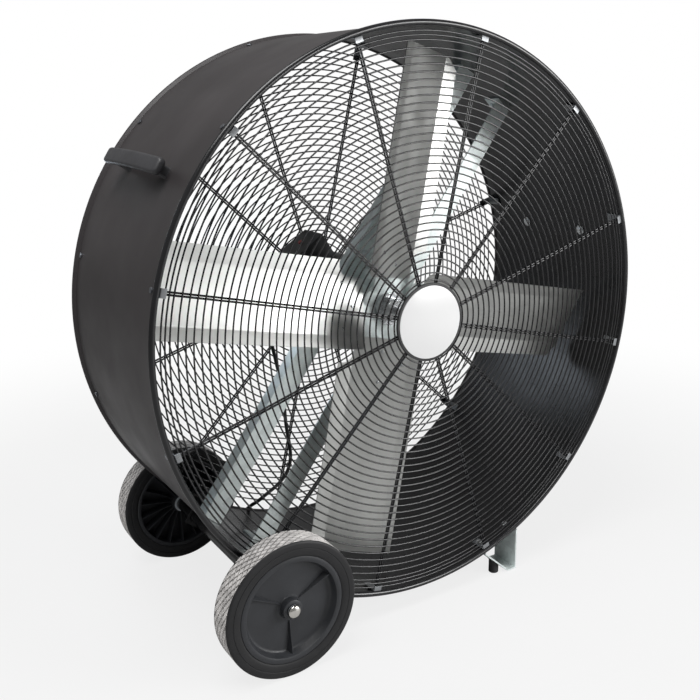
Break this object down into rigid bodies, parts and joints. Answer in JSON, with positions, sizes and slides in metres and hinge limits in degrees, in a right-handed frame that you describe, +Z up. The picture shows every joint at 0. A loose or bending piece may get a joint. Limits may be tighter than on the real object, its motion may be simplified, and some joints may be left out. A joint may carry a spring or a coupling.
{
  "type": "drum fan",
  "caption": "Large black drum fan on two wheels, with wire guards, a galvanised rotor on a direct-drive motor, strut mounts, feet, handles and a supply cord.",
  "frame": {"origin": "on the floor, under the middle of the fan's outline with the cord left out", "axes": "+Z up, +Y from the front guard to the rear guard along the rotor's axis, +X to the right seen from the front"},
  "size_m": [1.1157, 0.6417, 1.1293],
  "materials": {
    "drum_paint": "satin",
    "guard_black": "gloss",
    "zinc_plate": "satin",
    "bright_zinc": "satin",
    "blade_steel": "satin",
    "motor_black": "satin",
    "steel": "satin",
    "lamination": "matte",
    "copper": "satin",
    "black_plastic": "matte",
    "wheel_plastic": "matte",
    "tyre_rubber": "matte",
    "rubber": "matte",
    "cord_rubber": "satin",
    "white_badge": "gloss",
    "red_plastic": "gloss",
    "chrome": "polished"
  },
  "bodies": {
    "housing": {"drum_shell": "drum_paint", "drum_beads": "drum_paint", "front_guard": "guard_black", "front_guard_clips": "bright_zinc", "front_clip_screws": "bright_zinc", "badge_rim": "black_plastic", "badge": "white_badge", "rear_guard": "guard_black", "rear_guard_clips": "bright_zinc", "rear_clip_screws": "bright_zinc", "upper_strut": "zinc_plate", "lower_strut": "zinc_plate", "strut_bolts": "bright_zinc", "motor_plate": "zinc_plate", "motor_plate_bolts": "bright_zinc", "motor_front_bell": "motor_black", "motor_shell": "motor_black", "motor_rear_bell": "motor_black", "motor_bearings": "steel", "motor_through_bolts": "bright_zinc", "stator_core": "lamination", "stator_windings": "copper", "terminal_box": "motor_black", "terminal_box_cover": "motor_black", "capacitor": "black_plastic", "speed_switch": "black_plastic", "cord_gland": "black_plastic", "axle_rod": "steel", "axle_tube": "motor_black", "axle_washers": "bright_zinc", "axle_caps": "chrome", "axle_brackets": "motor_black", "axle_bracket_bolts": "bright_zinc", "front_foot_bracket": "zinc_plate", "rear_foot_bracket": "zinc_plate", "foot_pads": "rubber", "foot_bolts": "bright_zinc", "left_handle": "black_plastic", "right_handle": "black_plastic", "handle_bolts": "bright_zinc", "supply_cord": "cord_rubber", "supply_cord_coil": "cord_rubber", "supply_cord_tail": "cord_rubber", "supply_plug": "cord_rubber"},
    "rotor": {"motor_shaft": "steel", "rotor_core": "lamination", "fan_hub": "bright_zinc", "hub_set_screws": "bright_zinc", "fan_spider": "zinc_plate", "blade_rivets": "bright_zinc", "fan_blade_1": "blade_steel", "fan_blade_2": "blade_steel", "fan_blade_3": "blade_steel", "fan_blade_4": "blade_steel"},
    "front_wheel": {"front_wheel_rim": "wheel_plastic", "front_wheel_tyre": "tyre_rubber"},
    "rear_wheel": {"rear_wheel_rim": "wheel_plastic", "rear_wheel_tyre": "tyre_rubber"},
    "reset": {"reset_button": "red_plastic"},
    "knob": {"speed_knob": "black_plastic"}
  },
  "joints": [
    {"name": "rotor_spin", "type": "hinge", "parent": "housing", "child": "rotor", "pos_m": [-0.01135, -0.075, 0.58297], "axis": [0, 1, 0], "continuous": true},
    {"name": "front_wheel_spin", "type": "hinge", "parent": "housing", "child": "front_wheel", "pos_m": [-0.34752, -0.2537, 0.127], "axis": [0, 1, 0], "continuous": true},
    {"name": "rear_wheel_spin", "type": "hinge", "parent": "housing", "child": "rear_wheel", "pos_m": [-0.34752, 0.2537, 0.127], "axis": [0, 1, 0], "continuous": true},
    {"name": "reset_press", "type": "slide", "parent": "housing", "child": "reset", "axis": [0.5592, 0, -0.829], "range_m": [0, 0.002], "stiffness_N_per_m": 200},
    {"name": "speed_turn", "type": "hinge", "parent": "housing", "child": "knob", "pos_m": [-0.06755, 0.2174, 0.66629], "axis": [0, -1, 0], "range_deg": [0, 90]}
  ]
}
